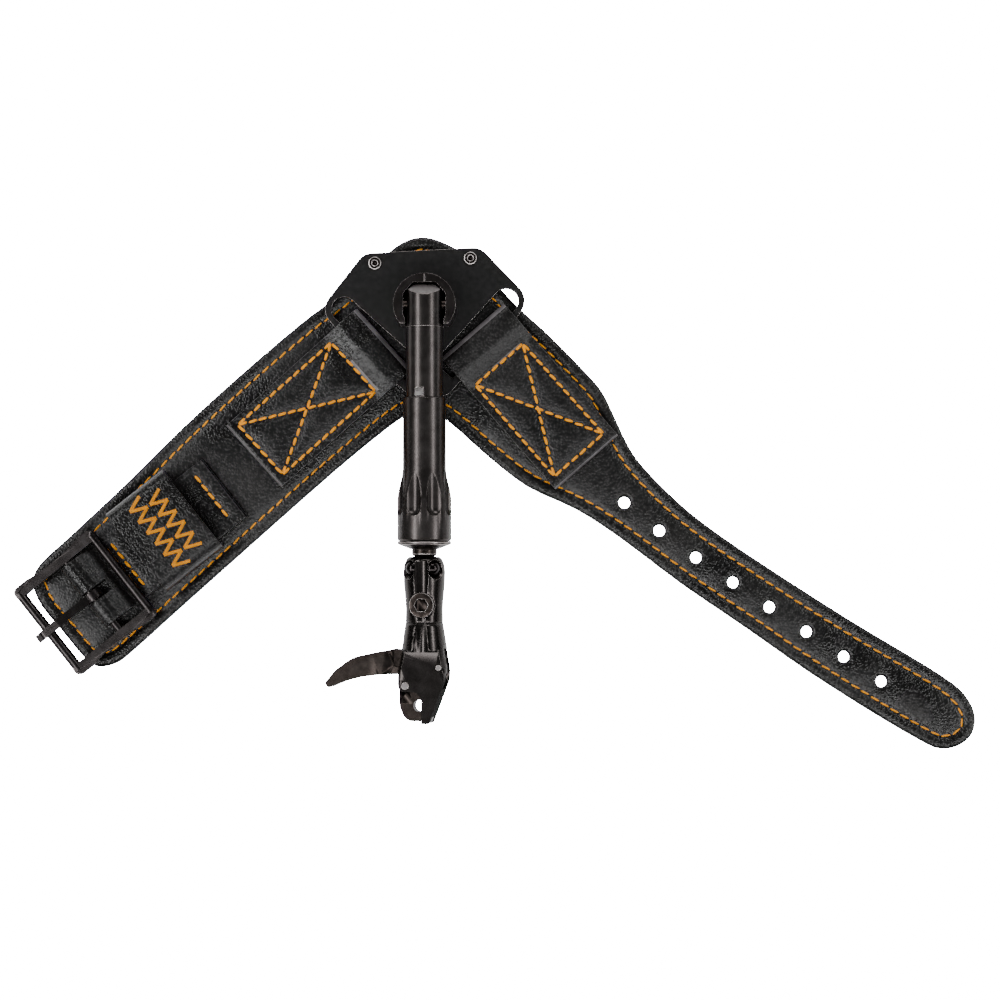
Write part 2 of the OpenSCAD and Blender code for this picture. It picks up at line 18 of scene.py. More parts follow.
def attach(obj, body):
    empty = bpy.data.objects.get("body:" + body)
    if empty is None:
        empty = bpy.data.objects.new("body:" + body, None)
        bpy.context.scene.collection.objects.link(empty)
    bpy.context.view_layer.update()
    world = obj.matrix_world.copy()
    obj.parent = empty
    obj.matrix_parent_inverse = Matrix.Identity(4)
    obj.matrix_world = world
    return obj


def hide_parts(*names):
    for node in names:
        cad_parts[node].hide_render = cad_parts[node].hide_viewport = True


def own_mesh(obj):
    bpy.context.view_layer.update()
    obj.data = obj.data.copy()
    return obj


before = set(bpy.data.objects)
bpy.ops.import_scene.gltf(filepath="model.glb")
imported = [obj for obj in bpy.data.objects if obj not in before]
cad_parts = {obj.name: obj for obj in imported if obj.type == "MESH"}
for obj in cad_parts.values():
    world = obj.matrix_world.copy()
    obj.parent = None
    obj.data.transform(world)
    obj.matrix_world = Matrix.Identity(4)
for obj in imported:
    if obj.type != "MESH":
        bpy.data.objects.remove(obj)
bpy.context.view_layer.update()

MM = 0.001
log = logging.getLogger("wrist_release")
Point = tuple[float, float]


class Body(Enum):
    """The moving groups that a piece can ride on."""

    STRAP = "strap"
    SWIVEL = "swivel"
    STEM = "stem"
    SLIDER = "slider"
    HEAD = "head"
    TRIGGER = "trigger_blade"
    HOOK = "hook"
    BUCKLE = "buckle"
    PRONG = "prong"


class Slot(Enum):
    """The record's material slots."""

    LINING = "lining"
    LEATHER = "leather"
    BUCKLE = "buckle"
    PLATE = "plate"
    STEM = "stem"
    HEAD = "head"
    DARK_STEEL = "dark_steel"
    BRIGHT_STEEL = "bright_steel"


# ---------------------------------------------------------------- finishes


class Graph:
    """A short way to write a material's nodes."""

    def __init__(self, name: str) -> None:
        """Start an empty node material.

        Args:
            name: The material's name.
        """
        self.material = bpy.data.materials.new(name)
        self.material.use_nodes = True
        self.tree = self.material.node_tree
        self.tree.nodes.clear()
        self.out = self.tree.nodes.new("ShaderNodeOutputMaterial")
        self.shader = self.tree.nodes.new("ShaderNodeBsdfPrincipled")
        self.link(self.shader.outputs[0], self.out.inputs["Surface"])

    def link(self, source: bpy.types.NodeSocket, target: bpy.types.NodeSocket) -> None:
        """Join two sockets."""
        self.tree.links.new(source, target)

    def node(self, kind: str, settings: dict | None = None, **inputs: object) -> bpy.types.Node:
        """Add a node.

        Args:
            kind: The node's type, without the ShaderNode prefix.
            settings: Values of the node's own properties.
            **inputs: Socket values or source sockets, by name with _ for a space.

        Returns:
            The new node.
        """
        made = self.tree.nodes.new("ShaderNode" + kind)
        for key, value in (settings or {}).items():
            setattr(made, key, value)
        for key, value in inputs.items():
            socket = made.inputs[int(key[1:])] if key[0] == "i" and key[1:].isdigit() else made.inputs[
                key.replace("_", " ")]
            if isinstance(value, bpy.types.NodeSocket):
                self.link(value, socket)
            else:
                socket.default_value = value
        return made

    def place(self, squeeze: tuple[float, float, float] = (1, 1, 1), turn: float = 0) -> bpy.types.NodeSocket:
        """Object coordinates in metres, stretched and turned about Z.

        Args:
            squeeze: Scale along each axis.
            turn: Turn about Z in degrees.

        Returns:
            The vector socket.
        """
        coords = self.node("TexCoord").outputs["Object"]
        return self.node("Mapping", Vector=coords, Rotation=(0, 0, math.radians(turn)),
                         Scale=squeeze).outputs[0]

    def noise(self, where: bpy.types.NodeSocket, size_mm: float, detail: float = 2,
              rough: float = 0.5) -> bpy.types.NodeSocket:
        """A noise value with features of about a size."""
        return self.node("TexNoise", Vector=where, Scale=1 / (size_mm * MM), Detail=detail,
                         Roughness=rough).outputs[0]

    def spread(self, value: bpy.types.NodeSocket, low: float, high: float, to_low: float,
               to_high: float) -> bpy.types.NodeSocket:
        """Map a value from one range to another, clamped."""
        return self.node("MapRange", Value=value, From_Min=low, From_Max=high, To_Min=to_low,
                         To_Max=to_high).outputs[0]

    def mix(self, factor: bpy.types.NodeSocket, a: tuple, b: tuple) -> bpy.types.NodeSocket:
        """Blend two colours by a value."""
        ramp = self.node("ValToRGB", Fac=factor)
        ramp.color_ramp.elements[0].color = (*a, 1)
        ramp.color_ramp.elements[1].color = (*b, 1)
        return ramp.outputs[0]

    def math(self, kind: str, a: object, b: object) -> bpy.types.NodeSocket:
        """Combine two values."""
        return self.node("Math", {"operation": kind}, i0=a, i1=b).outputs[0]

    def bump(self, height: bpy.types.NodeSocket, depth_mm: float, strength: float = 1,
             under: bpy.types.NodeSocket | None = None) -> bpy.types.NodeSocket:
        """A bump of a depth in millimetres, over an optional earlier one."""
        made = self.node("Bump", Height=height, Distance=depth_mm * MM, Strength=strength)
        if under is not None:
            self.link(under, made.inputs["Normal"])
        return made.outputs[0]

    def finish(self, **inputs: object) -> bpy.types.Material:
        """Set the main shader's sockets.

        Args:
            **inputs: Values or sockets, by name with _ for a space.

        Returns:
            The material.
        """
        for key, value in inputs.items():
            socket = self.shader.inputs[key.replace("_", " ")]
            if isinstance(value, bpy.types.NodeSocket):
                self.link(value, socket)
            else:
                socket.default_value = value
        return self.material


@dataclass(frozen=True)
class LeatherFinish:
    """Black pebbled leather with a soft gloss."""

    name: str = "pebbled_leather"
    dark: tuple[float, float, float] = (0.0007, 0.0006, 0.0006)
    light: tuple[float, float, float] = (0.0060, 0.0052, 0.0050)
    pebble_mm: float = 0.56
    depth_mm: float = 0.085
    gloss: tuple[float, float] = (0.27, 0.36)

    def build(self) -> bpy.types.Material:
        """Make the material: pebbles, fine pores, slow wrinkles and uneven gloss."""
        g = Graph(self.name)
        here = g.place()
        wander = g.noise(here, 2.2, 3)
        moved = g.node("VectorMath", {"operation": "MULTIPLY_ADD"}, i0=g.node(
            "CombineXYZ", X=wander, Y=g.noise(g.place((1, 1, 1), 70), 2.2, 3), Z=0.5).outputs[0],
            i1=(0.4 * MM, 0.4 * MM, 0), i2=here).outputs[0]
        cells = g.node("TexVoronoi", {"feature": "SMOOTH_F1"}, Vector=moved,
                       Scale=1 / (self.pebble_mm * MM), Smoothness=0.35).outputs["Distance"]
        pebble = g.spread(cells, 0.12, 0.62, 1, 0)
        pores = g.noise(here, 0.25, 3, 0.6)
        slow = g.noise(here, 17, 0.6)
        height = g.math("ADD", pebble, g.math("MULTIPLY", pores, 0.25))
        normal = g.bump(height, self.depth_mm, 0.8, g.bump(slow, 1.0, 0.5))
        gloss = g.spread(g.math("ADD", slow, g.math("MULTIPLY", pebble, -0.12)), 0.3, 0.65, *self.gloss)
        return g.finish(Base_Color=g.mix(g.spread(g.math("ADD", pebble, slow), 0.5, 1.5, 0, 1),
                                         self.dark, self.light),
                        Roughness=gloss, Normal=normal, Specular_IOR_Level=0.35)


@dataclass(frozen=True)
class EdgeFinish:
    """Burnished and painted edge of the leather, with the layers showing as fine lines."""

    name: str = "burnished_edge"
    dark: tuple[float, float, float] = (0.0015, 0.0013, 0.0013)
    light: tuple[float, float, float] = (0.008, 0.007, 0.007)

    def build(self) -> bpy.types.Material:
        """Make the material: smooth dark paint with faint lines along the layers."""
        g = Graph(self.name)
        layers = g.noise(g.place((0.12, 0.12, 3)), 0.5, 3)
        uneven = g.noise(g.place(), 3, 3)
        return g.finish(Base_Color=g.mix(uneven, self.dark, self.light),
                        Roughness=g.spread(uneven, 0.3, 0.7, 0.28, 0.5),
                        Normal=g.bump(layers, 0.12, 0.6, g.bump(uneven, 0.25, 0.5)))


@dataclass(frozen=True)
class LiningFinish:
    """Soft suede lining on the wrist side."""

    name: str = "suede_lining"

    def build(self) -> bpy.types.Material:
        """Make the material: a short brushed nap."""
        g = Graph(self.name)
        nap = g.noise(g.place((1, 0.35, 1), 40), 0.35, 5, 0.7)
        brushed = g.noise(g.place(), 9, 3)
        return g.finish(Base_Color=g.mix(g.math("MULTIPLY", g.math("ADD", nap, brushed), 0.5),
                                         (0.012, 0.011, 0.011), (0.05, 0.045, 0.043)),
                        Roughness=0.92, Sheen_Weight=0.35, Sheen_Roughness=0.5,
                        Normal=g.bump(nap, 0.12, 0.8))


@dataclass(frozen=True)
class ThreadFinish:
    """Waxed orange thread, with its strands twisted round each other."""

    name: str = "orange_thread"

    def build(self) -> bpy.types.Material:
        """Make the material from the thread's own UV map, along and round it."""
        g = Graph(self.name)
        uv = g.node("UVMap", {"uv_map": "thread"}).outputs[0]
        twist = g.node("TexWave", {"wave_type": "BANDS", "bands_direction": "DIAGONAL"},
                       Vector=g.node("Mapping", Vector=uv, Scale=(3.2, 1.6, 1)).outputs[0], Scale=1.6,
                       Distortion=0.6).outputs["Fac"]
        wear = g.noise(g.place(), 1.3, 3)
        shade = g.math("ADD", g.math("MULTIPLY", twist, 0.65), g.math("MULTIPLY", wear, 0.45))
        return g.finish(Base_Color=g.mix(shade, (0.75, 0.17, 0.0), (1.0, 0.45, 0.004)),
                        Roughness=0.6, Specular_IOR_Level=0.25,
                        Normal=g.bump(twist, 0.12, 0.9))


@dataclass(frozen=True)
class MetalFinish:
    """A machined metal with its coating and fine tool marks."""

    name: str
    dark: tuple[float, float, float]
    light: tuple[float, float, float]
    metallic: float
    rough: tuple[float, float]
    marks_mm: tuple[float, float, float] = (1, 1, 1)
    marks_depth: float = 0.003
    mottle_mm: float = 3.0
    specular: float = 0.5

    def build(self) -> bpy.types.Material:
        """Make the material: a mottled coating over fine tool marks."""
        g = Graph(self.name)
        marks = g.noise(g.place(self.marks_mm), 0.3, 4, 0.6)
        mottle = g.noise(g.place(), self.mottle_mm, 4)
        tone = g.spread(mottle, 0.25, 0.8, 0, 1)
        return g.finish(Base_Color=g.mix(tone, self.dark, self.light), Metallic=self.metallic,
                        Specular_IOR_Level=self.specular,
                        Roughness=g.spread(g.math("ADD", mottle, marks), 0.6, 1.4, *self.rough),
                        Normal=g.bump(marks, self.marks_depth, 0.5))


def look(finish: LeatherFinish | EdgeFinish | LiningFinish | ThreadFinish
         | MetalFinish) -> bpy.types.Material:
    """A field that holds a finish's material, made once."""
    return field(default_factory=finish.build)


@dataclass
class Finishes:
    """Every material, made once."""

    leather: bpy.types.Material = look(LeatherFinish())
    edge: bpy.types.Material = look(EdgeFinish())
    # Painted highlight: a pale grey colour for the sloping top bevels of the leather tabs, standing in for
    # the light their edges catch.
    bevel_highlight: bpy.types.Material = look(EdgeFinish(
        "leather_bevel_highlight", (0.03, 0.028, 0.03), (0.16, 0.15, 0.155)))
    lining: bpy.types.Material = look(LiningFinish())
    thread: bpy.types.Material = look(ThreadFinish())
    plate: bpy.types.Material = look(MetalFinish(
        "black_plate", (0.0010, 0.0009, 0.0009), (0.0035, 0.003, 0.003), 0.0, (0.3, 0.4),
        marks_depth=0.006, mottle_mm=1.2))
    stem: bpy.types.Material = look(MetalFinish(
        "black_anodised_stem", (0.040, 0.035, 0.034), (0.060, 0.054, 0.053), 1.0, (0.28, 0.34),
        marks_mm=(1, 0.25, 1), marks_depth=0.0025))
    head: bpy.types.Material = look(MetalFinish(
        "black_anodised_head", (0.026, 0.023, 0.022), (0.042, 0.038, 0.037), 1.0, (0.2, 0.26),
        marks_depth=0.003))
    dark_steel: bpy.types.Material = look(MetalFinish(
        "oxide_steel", (0.022, 0.0175, 0.016), (0.038, 0.031, 0.028), 1.0, (0.28, 0.36),
        marks_depth=0.007, mottle_mm=1.6))
    bright: bpy.types.Material = look(MetalFinish(
        "bright_steel", (0.42, 0.40, 0.39), (0.75, 0.73, 0.72), 1.0, (0.22, 0.35),
        marks_depth=0.005))
    buckle: bpy.types.Material = look(MetalFinish(
        "black_buckle_coat", (0.028, 0.025, 0.025), (0.044, 0.040, 0.040), 1.0, (0.24, 0.32),
        marks_depth=0.005))
    # Painted highlight: a pale metal colour for rounded edges, standing in for the light they catch; the
    # turret's index line, a real pale mark, uses it as its paint.
    highlight_paint: bpy.types.Material = look(MetalFinish(
        "edge_highlight_and_index_paint", (0.22, 0.20, 0.195), (0.48, 0.45, 0.44), 1.0, (0.3, 0.42)))
    # Pale matt grey: on the knuckle's rear facet it is a painted reflection of the pale floor behind; the two
    # pins take it as their own grey.
    facet_reflection_and_pin_grey: bpy.types.Material = look(MetalFinish(
        "painted_facet_reflection_and_pin_grey", (0.12, 0.11, 0.108), (0.20, 0.185, 0.182), 0.0, (0.5, 0.65)))
    # Painted shade: a near-black, almost shineless colour for the housing wall that faces +X, in place of the
    # sheen of the head's own finish.
    shaded_housing_wall: bpy.types.Material = look(MetalFinish(
        "shaded_housing_wall", (0.0008, 0.0007, 0.0007), (0.003, 0.0026, 0.0026), 0.0, (0.8, 0.95),
        specular=0.05))
    ball: bpy.types.Material = look(MetalFinish(
        "black_ball", (0.014, 0.012, 0.012), (0.03, 0.027, 0.027), 1.0, (0.16, 0.22)))


# ---------------------------------------------------------------- mesh helpers


def mesh_copy(node: str) -> bmesh.types.BMesh:
    """A welded working copy of a CAD node, with flat areas merged into single faces.

    Args:
        node: The CAD node's name.

    Returns:
        The new bmesh.
    """
    bm = bmesh.new()
    bm.from_mesh(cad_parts[node].data)
    bmesh.ops.remove_doubles(bm, verts=bm.verts, dist=1e-6)
    bmesh.ops.dissolve_limit(bm, angle_limit=math.radians(0.1), verts=bm.verts, edges=bm.edges)
    return bm


def sharp_edges(bm: bmesh.types.BMesh, degrees: float) -> list[bmesh.types.BMEdge]:
    """Edges whose two faces meet at more than an angle."""
    limit = math.radians(degrees)
    return [e for e in bm.edges if e.is_manifold and e.is_convex and e.calc_face_angle(0) > limit]


def soften(bm: bmesh.types.BMesh, width: float, degrees: float = 28, segments: int = 2,
           slot: int = 0) -> None:
    """Round the sharp outer edges of a mesh.

    Args:
        bm: The mesh.
        width: Width of the rounding, in metres.
        degrees: Edges sharper than this are rounded.
        segments: Faces across the rounding.
        slot: Material index for the rounding.
    """
    rounded = bmesh.ops.bevel(bm, geom=sharp_edges(bm, degrees), offset=width, offset_type="OFFSET",
                    segments=segments, profile=0.5, affect="EDGES", clamp_overlap=True, material=-1)["faces"]
    for f in rounded:
        f.material_index = slot
    bmesh.ops.remove_doubles(bm, verts=bm.verts, dist=2e-6)


def slice_grid(bm: bmesh.types.BMesh, step: float, axes: Iterable[int] = (0, 1)) -> None:
    """Cut a mesh along evenly spaced planes, so that it can bend.

    Args:
        bm: The mesh.
        step: Distance between the planes, in metres.
        axes: The axes that the planes stand across.
    """
    for axis in axes:
        spots = [v.co[axis] for v in bm.verts]
        normal = Vector((0, 0, 0))
        normal[axis] = 1
        place = math.ceil(min(spots) / step) * step
        while place < max(spots):
            point = normal * place
            bmesh.ops.bisect_plane(bm, geom=bm.verts[:] + bm.edges[:] + bm.faces[:], plane_co=point,
                                   plane_no=normal, dist=1e-7)
            place += step


def to_object(bm: bmesh.types.BMesh, name: str, materials: list[bpy.types.Material],
              smooth_below: float = 40) -> bpy.types.Object:
    """Turn a bmesh into a smooth-shaded object at the origin.

    Args:
        bm: The mesh, which is freed.
        name: The object's name.
        materials: Its materials, in slot order.
        smooth_below: Edges flatter than this many degrees look smooth.

    Returns:
        The new object.
    """
    wide = [f for f in bm.faces if len(f.verts) > 4]
    if wide:
        bmesh.ops.triangulate(bm, faces=wide)
    mesh = bpy.data.meshes.new(name)
    bm.to_mesh(mesh)
    bm.free()
    for material in materials:
        mesh.materials.append(material)
    mesh.shade_smooth()
    mesh.set_sharp_from_angle(angle=math.radians(smooth_below))
    made = bpy.data.objects.new(name, mesh)
    bpy.context.scene.collection.objects.link(made)
    return made


def bell(distance: float, width: float) -> float:
    """A smooth bump of height 1 at distance 0."""
    return math.exp(-((distance / width) ** 2))


def ease(value: float, low: float, high: float) -> float:
    """A smooth step from 0 at low to 1 at high."""
    t = min(1.0, max(0.0, (value - low) / (high - low)))
    return t * t * (3 - 2 * t)


def ripple(x: float, y: float, size: float) -> float:
    """A slow uneven wave between about -1 and 1, for places in metres."""
    a, b = x / size, y / size
    return (math.sin(2.1 * a + 1.3 * b) + math.sin(1.7 * b - 0.9 * a + 2) + math.sin(3.1 * a - 2.3 * b)) / 3


class OutlineDistance:
    """Distance from points to a closed outline, in the plane."""

    def __init__(self, loop: list[Point]) -> None:
        """Keep the outline's segments.

        Args:
            loop: Its points in order.
        """
        self.start = np.array(loop)
        self.run = np.roll(self.start, -1, axis=0) - self.start
        self.length2 = (self.run**2).sum(1) + 1e-18

    def to(self, points: np.ndarray) -> np.ndarray:
        """Distance of each point.

        Args:
            points: An array of X and Y rows.

        Returns:
            One distance for each.
        """
        best = np.full(len(points), 1e9)
        for p, d, l2 in zip(self.start, self.run, self.length2):
            t = np.clip(((points - p) @ d) / l2, 0, 1)
            gap = points - p - t[:, None] * d
            best = np.minimum(best, np.hypot(gap[:, 0], gap[:, 1]))
        return best


def ordered_loops(edges: Iterable[bmesh.types.BMEdge]) -> list[list[bmesh.types.BMVert]]:
    """Sort edges into closed loops of vertices, the longest first."""
    links: dict[bmesh.types.BMVert, list[bmesh.types.BMVert]] = {}
    for e in edges:
        a, b = e.verts
        links.setdefault(a, []).append(b)
        links.setdefault(b, []).append(a)
    left = set(links)
    loops = []
    while left:
        here = next(iter(left))
        loop = [here]
        left.discard(here)
        while True:
            ahead = [v for v in links[loop[-1]] if v in left]
            if not ahead:
                break
            loop.append(ahead[0])
            left.discard(ahead[0])
        loops.append(loop)
    return sorted(loops, key=len, reverse=True)


# ---------------------------------------------------------------- thread


@dataclass
class Thread:
    """Rows of stitches in one colour of thread, gathered into one mesh."""

    name: str
    body: Body
    material: bpy.types.Material
    length: float = 2.65 * MM
    pitch: float = 3.0 * MM
    radius: float = 0.31 * MM
    slant: float = 6.0
    sink: float = 0.3 * MM
    seed: int = 7

    def __post_init__(self) -> None:
        """Start the random numbers and an empty mesh with a thread UV map."""
        self.rng = random.Random(self.seed)
        self.bm = bmesh.new()
        self.bm.loops.layers.uv.new("thread")
        self.count = 0

    def stitch(self, a: Vector, b: Vector, up: Vector, radius: float | None = None) -> None:
        """Add one stitch whose ends dip into the leather.

        Args:
            a: One end.
            b: The other end.
            up: The leather's outward direction.
            radius: Thread radius, if it differs.
        """
        r = radius or self.radius
        half = (b - a).length / 2
        fresh = bmesh.ops.create_uvsphere(self.bm, u_segments=8, v_segments=6, radius=1)["verts"]
        along = (b - a).normalized()
        across = up.cross(along).normalized()
        top = along.cross(across).normalized()
        spin = Matrix((across, top, along)).transposed().to_4x4()
        uv = self.bm.loops.layers.uv["thread"]
        spots = {v: v.co.copy() for v in fresh}
        for f in {f for v in fresh for f in v.link_faces}:
            for corner in f.loops:
                s = spots[corner.vert]
                turn = math.atan2(s.y, s.x) / math.pi
                corner[uv].uv = (0.5 + 0.5 * s.z, turn)
        for v in fresh:
            s = spots[v]
            end = abs(s.z)
            full = (1 - end**3.2) ** 0.36 if end < 1 else 0
            ring = math.hypot(s.x, s.y) or 1
            co = Vector((s.x / ring * r * full * 1.08, s.y / ring * r * full * 0.9, s.z * half))
            co.y -= self.sink * end**4
            v.co = spin @ co + (a + b) / 2
        self.count += 1

    def row(self, path: list[Vector], ground: Callable[[Vector], tuple[Vector, Vector]],
            closed: bool = False, pitch: float | None = None, radius: float | None = None) -> None:
        """Sew a row along a path.

        Args:
            path: Points on the row, in order.
            ground: Gives the leather's surface point and outward direction near a point.
            closed: Whether the row comes back to its start.
            pitch: Distance between stitches, if it differs.
            radius: Thread radius, if it differs.
        """
        radius = radius or self.radius
        points = path + [path[0]] if closed else path
        runs = [0.0]
        for p, q in zip(points, points[1:]):
            runs.append(runs[-1] + (q - p).length)
        total = runs[-1]
        count = max(1, round(total / (pitch or self.pitch)))
        step = total / count
        part = min(0.88, self.length / self.pitch)

        def at(distance: float) -> Vector:
            """The point that far along the path."""
            distance = min(total - 1e-9, max(0.0, distance))
            k = max(i for i in range(len(runs)) if runs[i] <= distance)
            k = min(k, len(points) - 2)
            span = runs[k + 1] - runs[k] or 1e-9
            return points[k].lerp(points[k + 1], (distance - runs[k]) / span)

        for i in range(count):
            middle = (i + 0.5 + self.rng.uniform(-0.03, 0.03)) * step
            a, b = at(middle - step * part / 2), at(middle + step * part / 2)
            if (b - a).length < 0.3 * step:
                continue
            (pa, na), (pb, nb) = ground(a), ground(b)
            up = (na + nb).normalized()
            side = up.cross(pb - pa).normalized() * (pb - pa).length
            lean = math.tan(math.radians(self.slant + self.rng.uniform(-2, 2))) / 2
            lift = up * radius * 0.35
            self.stitch(pa - side * lean + lift, pb + side * lean + lift, up, radius)

    def done(self) -> bpy.types.Object:
        """Finish the mesh.

        Returns:
            The object with every stitch, riding on its body.
        """
        made = to_object(self.bm, self.name, [self.material], 180)
        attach(made, self.body.value)
        log.info("%s: %d stitches", self.name, self.count)
        return made


def ground_of(obj: bpy.types.Object) -> Callable[[Vector], tuple[Vector, Vector]]:
    """A function that drops a point onto an object from above.

    Args:
        obj: The object.

    Returns:
        The function, from a point to the surface point and its direction.
    """
    tree = BVHTree.FromPolygons([v.co for v in obj.data.vertices],
                                [p.vertices for p in obj.data.polygons])
    down = Vector((0, 0, -1))

    def drop(p: Vector) -> tuple[Vector, Vector]:
        """The surface under a point."""
        hit, normal, _, _ = tree.ray_cast(Vector((p.x, p.y, 0.05)), down)
        if hit is None:
            hit, normal, _, _ = tree.find_nearest(Vector((p.x, p.y, p.z)))
        return hit, normal if normal.z > 0 else -normal

    return drop


# ---------------------------------------------------------------- strap


@dataclass(frozen=True)
class StrapSizes:
    """Sizes of the padded strap, in metres."""

    bottom: float = 1.2 * MM
    top: float = 3.6 * MM
    inset: float = 3.3 * MM
    grid: float = 1.7 * MM
    groove: float = 0.34 * MM
    pad: float = 0.35 * MM


class Strap:
    """The padded wrist strap with its lining and the stitched row round its edge."""

    def __init__(self, looks: Finishes, sizes: StrapSizes = StrapSizes()) -> None:
        """Keep the finishes and sizes.

        Args:
            looks: The materials.
            sizes: The strap's sizes.
        """
        self.looks = looks
        self.sizes = sizes
        self.path: list[Vector] = []

    def outline(self) -> list[list[Vector]]:
        """The strap's outer outline and its holes, from the CAD shell's top face."""
        bm = mesh_copy("strap_shell")
        top = max(v.co.z for v in bm.verts)
        edges = [e for e in bm.edges if all(abs(v.co.z - top) < 2e-5 for v in e.verts)
                 and any(abs(f.normal.z) < 0.5 for f in e.link_faces)]
        loops = [[v.co.copy() for v in loop] for loop in ordered_loops(edges)]
        bm.free()
        loops.sort(key=lambda l: -sum((a - b).length for a, b in zip(l, l[1:])))
        log.info("strap outline: %s points", [len(l) for l in loops])
        return loops

    def shell(self) -> bpy.types.Object:
        """The leather body: walls, rounded rim, stitch groove, padded middle and soft holes.

        Returns:
            The leather object.
        """
        s = self.sizes
        loops = [resample(l, 1.2 * MM) for l in self.outline()]
        rim, holes = OutlineDistance([(p.x, p.y) for p in loops[0]]), [
            OutlineDistance([(p.x, p.y) for p in l]) for l in loops[1:]]
        bm = bmesh.new()
        rings = []
        for loop in loops:
            verts = [bm.verts.new((p.x, p.y, s.top)) for p in loop]
            rings.append([bm.edges.new((a, b)) for a, b in zip(verts, verts[1:] + verts[:1])])
        bmesh.ops.triangle_fill(bm, use_beauty=True, use_dissolve=False,
                                edges=[e for ring in rings for e in ring], normal=(0, 0, 1))
        bmesh.ops.dissolve_limit(bm, angle_limit=0.01, verts=[], edges=[e for e in bm.edges
                                 if not e.is_boundary])
        bmesh.ops.recalc_face_normals(bm, faces=bm.faces)
        if sum(f.normal.z for f in bm.faces) < 0:
            bmesh.ops.reverse_faces(bm, faces=bm.faces)
        self.path = offset_path([(p.x, p.y) for p in loops[0]], s.inset, s.top)
        slice_grid(bm, s.grid)
        bmesh.ops.triangulate(bm, faces=[f for f in bm.faces if len(f.verts) > 4])
        self.refine(bm, rim, holes)
        xy = np.array([(v.co.x, v.co.y) for v in bm.verts])
        edge_gap, hole_gap = rim.to(xy), np.full(len(xy), 1.0)
        for hole in holes:
            hole_gap = np.minimum(hole_gap, hole.to(xy))
        for v, d, h in zip(bm.verts, edge_gap, hole_gap):
            v.co.z = s.top + self.profile(d, h, v.co)
        top_faces = set(bm.faces)
        made = bmesh.ops.extrude_edge_only(bm, edges=[e for e in bm.edges if e.is_boundary])
        low = [v for v in made["geom"] if isinstance(v, bmesh.types.BMVert)]
        walls = [f for f in bm.faces if f not in top_faces]
        for v in low:
            v.co.z = s.bottom + 0.02 * MM
        floor_edges = [e for e in bm.edges if e.is_boundary]
        bmesh.ops.triangle_fill(bm, use_beauty=True, use_dissolve=False, edges=floor_edges,
                                normal=(0, 0, -1))
        bmesh.ops.subdivide_edges(bm, edges=[e for e in {e for f in walls for e in f.edges}
                                             if abs(e.verts[0].co.z - e.verts[1].co.z) > 1 * MM],
                                  cuts=3, use_grid_fill=True)
        for f in bm.faces:
            if abs(f.normal.z) < 0.6:
                f.material_index = 1
        bmesh.ops.recalc_face_normals(bm, faces=bm.faces)
        self.bulge(bm, rim)
        made_obj = to_object(bm, "strap_leather", [self.looks.leather, self.looks.edge], 50)
        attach(made_obj, Body.STRAP.value)
        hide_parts("strap_shell", "strap_padding")
        return made_obj

    def refine(self, bm: bmesh.types.BMesh, rim: OutlineDistance, holes: list[OutlineDistance]) -> None:
        """Split the faces near the rim and the holes until they can hold the rounding and groove.

        Args:
            bm: The flat top.
            rim: Distance to the outer outline.
            holes: Distances to the holes.
        """
        for limit, reach in ((1.0 * MM, 5.2 * MM), (0.62 * MM, 4.6 * MM)):
            xy = np.array([((e.verts[0].co + e.verts[1].co) / 2)[:2] for e in bm.edges])
            gap = rim.to(xy)
            for hole in holes:
                gap = np.minimum(gap, hole.to(xy) + 1.6 * MM)
            long = [e for e, d in zip(bm.edges, gap)
                    if d < reach and e.calc_length() > limit and not e.is_boundary]
            bmesh.ops.subdivide_edges(bm, edges=long, cuts=1)
            bmesh.ops.triangulate(bm, faces=[f for f in bm.faces if len(f.verts) > 3])

    def profile(self, rim: float, hole: float, co: Vector) -> float:
        """Height of the leather above its flat top.

        Args:
            rim: Distance to the outer outline.
            hole: Distance to the nearest hole.
            co: The place.

        Returns:
            The height change, in metres.
        """
        s = self.sizes
        z = -0.42 * MM * (1 - min(1, rim / (0.95 * MM))) ** 2.2
        z -= s.groove * bell(rim - s.inset, 0.75 * MM)
        z += 0.10 * MM * bell(rim - 1.7 * MM, 0.8 * MM)
        z += s.pad * ease(rim, s.inset, s.inset + 5 * MM) - 0.12 * MM
        z -= 0.45 * MM * (1 - min(1, hole / (0.9 * MM))) ** 2
        z -= 0.18 * MM * bell(hole, 2.4 * MM)
        z += 0.09 * MM * ripple(co.x, co.y, 9 * MM) * ease(rim, 0, 6 * MM)
        return z

    def bulge(self, bm: bmesh.types.BMesh, rim: OutlineDistance) -> None:
        """Give the cut edge a slight hollow between its layers."""
        s = self.sizes
        for v in bm.verts:
            t = (v.co.z - s.bottom) / (s.top - s.bottom)
            if 0.1 < t < 0.8 and v.normal.length:
                flat = Vector((v.normal.x, v.normal.y, 0))
                v.co -= flat * 0.16 * MM * math.sin(math.pi * t) ** 2

    def lining(self) -> bpy.types.Object:
        """The suede lining under the leather.

        Returns:
            The lining object.
        """
        bm = mesh_copy("strap_liner")
        soften(bm, 0.25 * MM, 60, 2)
        made = to_object(bm, "strap_lining", [self.looks.lining])
        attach(made, Body.STRAP.value)
        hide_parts("strap_liner")
        return made


def resample(loop: list[Vector], step: float) -> list[Vector]:
    """Add points along the long runs of a closed loop.

    Args:
        loop: The loop's points.
        step: The longest run to leave.

    Returns:
        The new loop.
    """
    out: list[Vector] = []
    for p, q in zip(loop, loop[1:] + loop[:1]):
        parts = max(1, math.ceil((q - p).length / step))
        out.extend(p.lerp(q, k / parts) for k in range(parts))
    return out


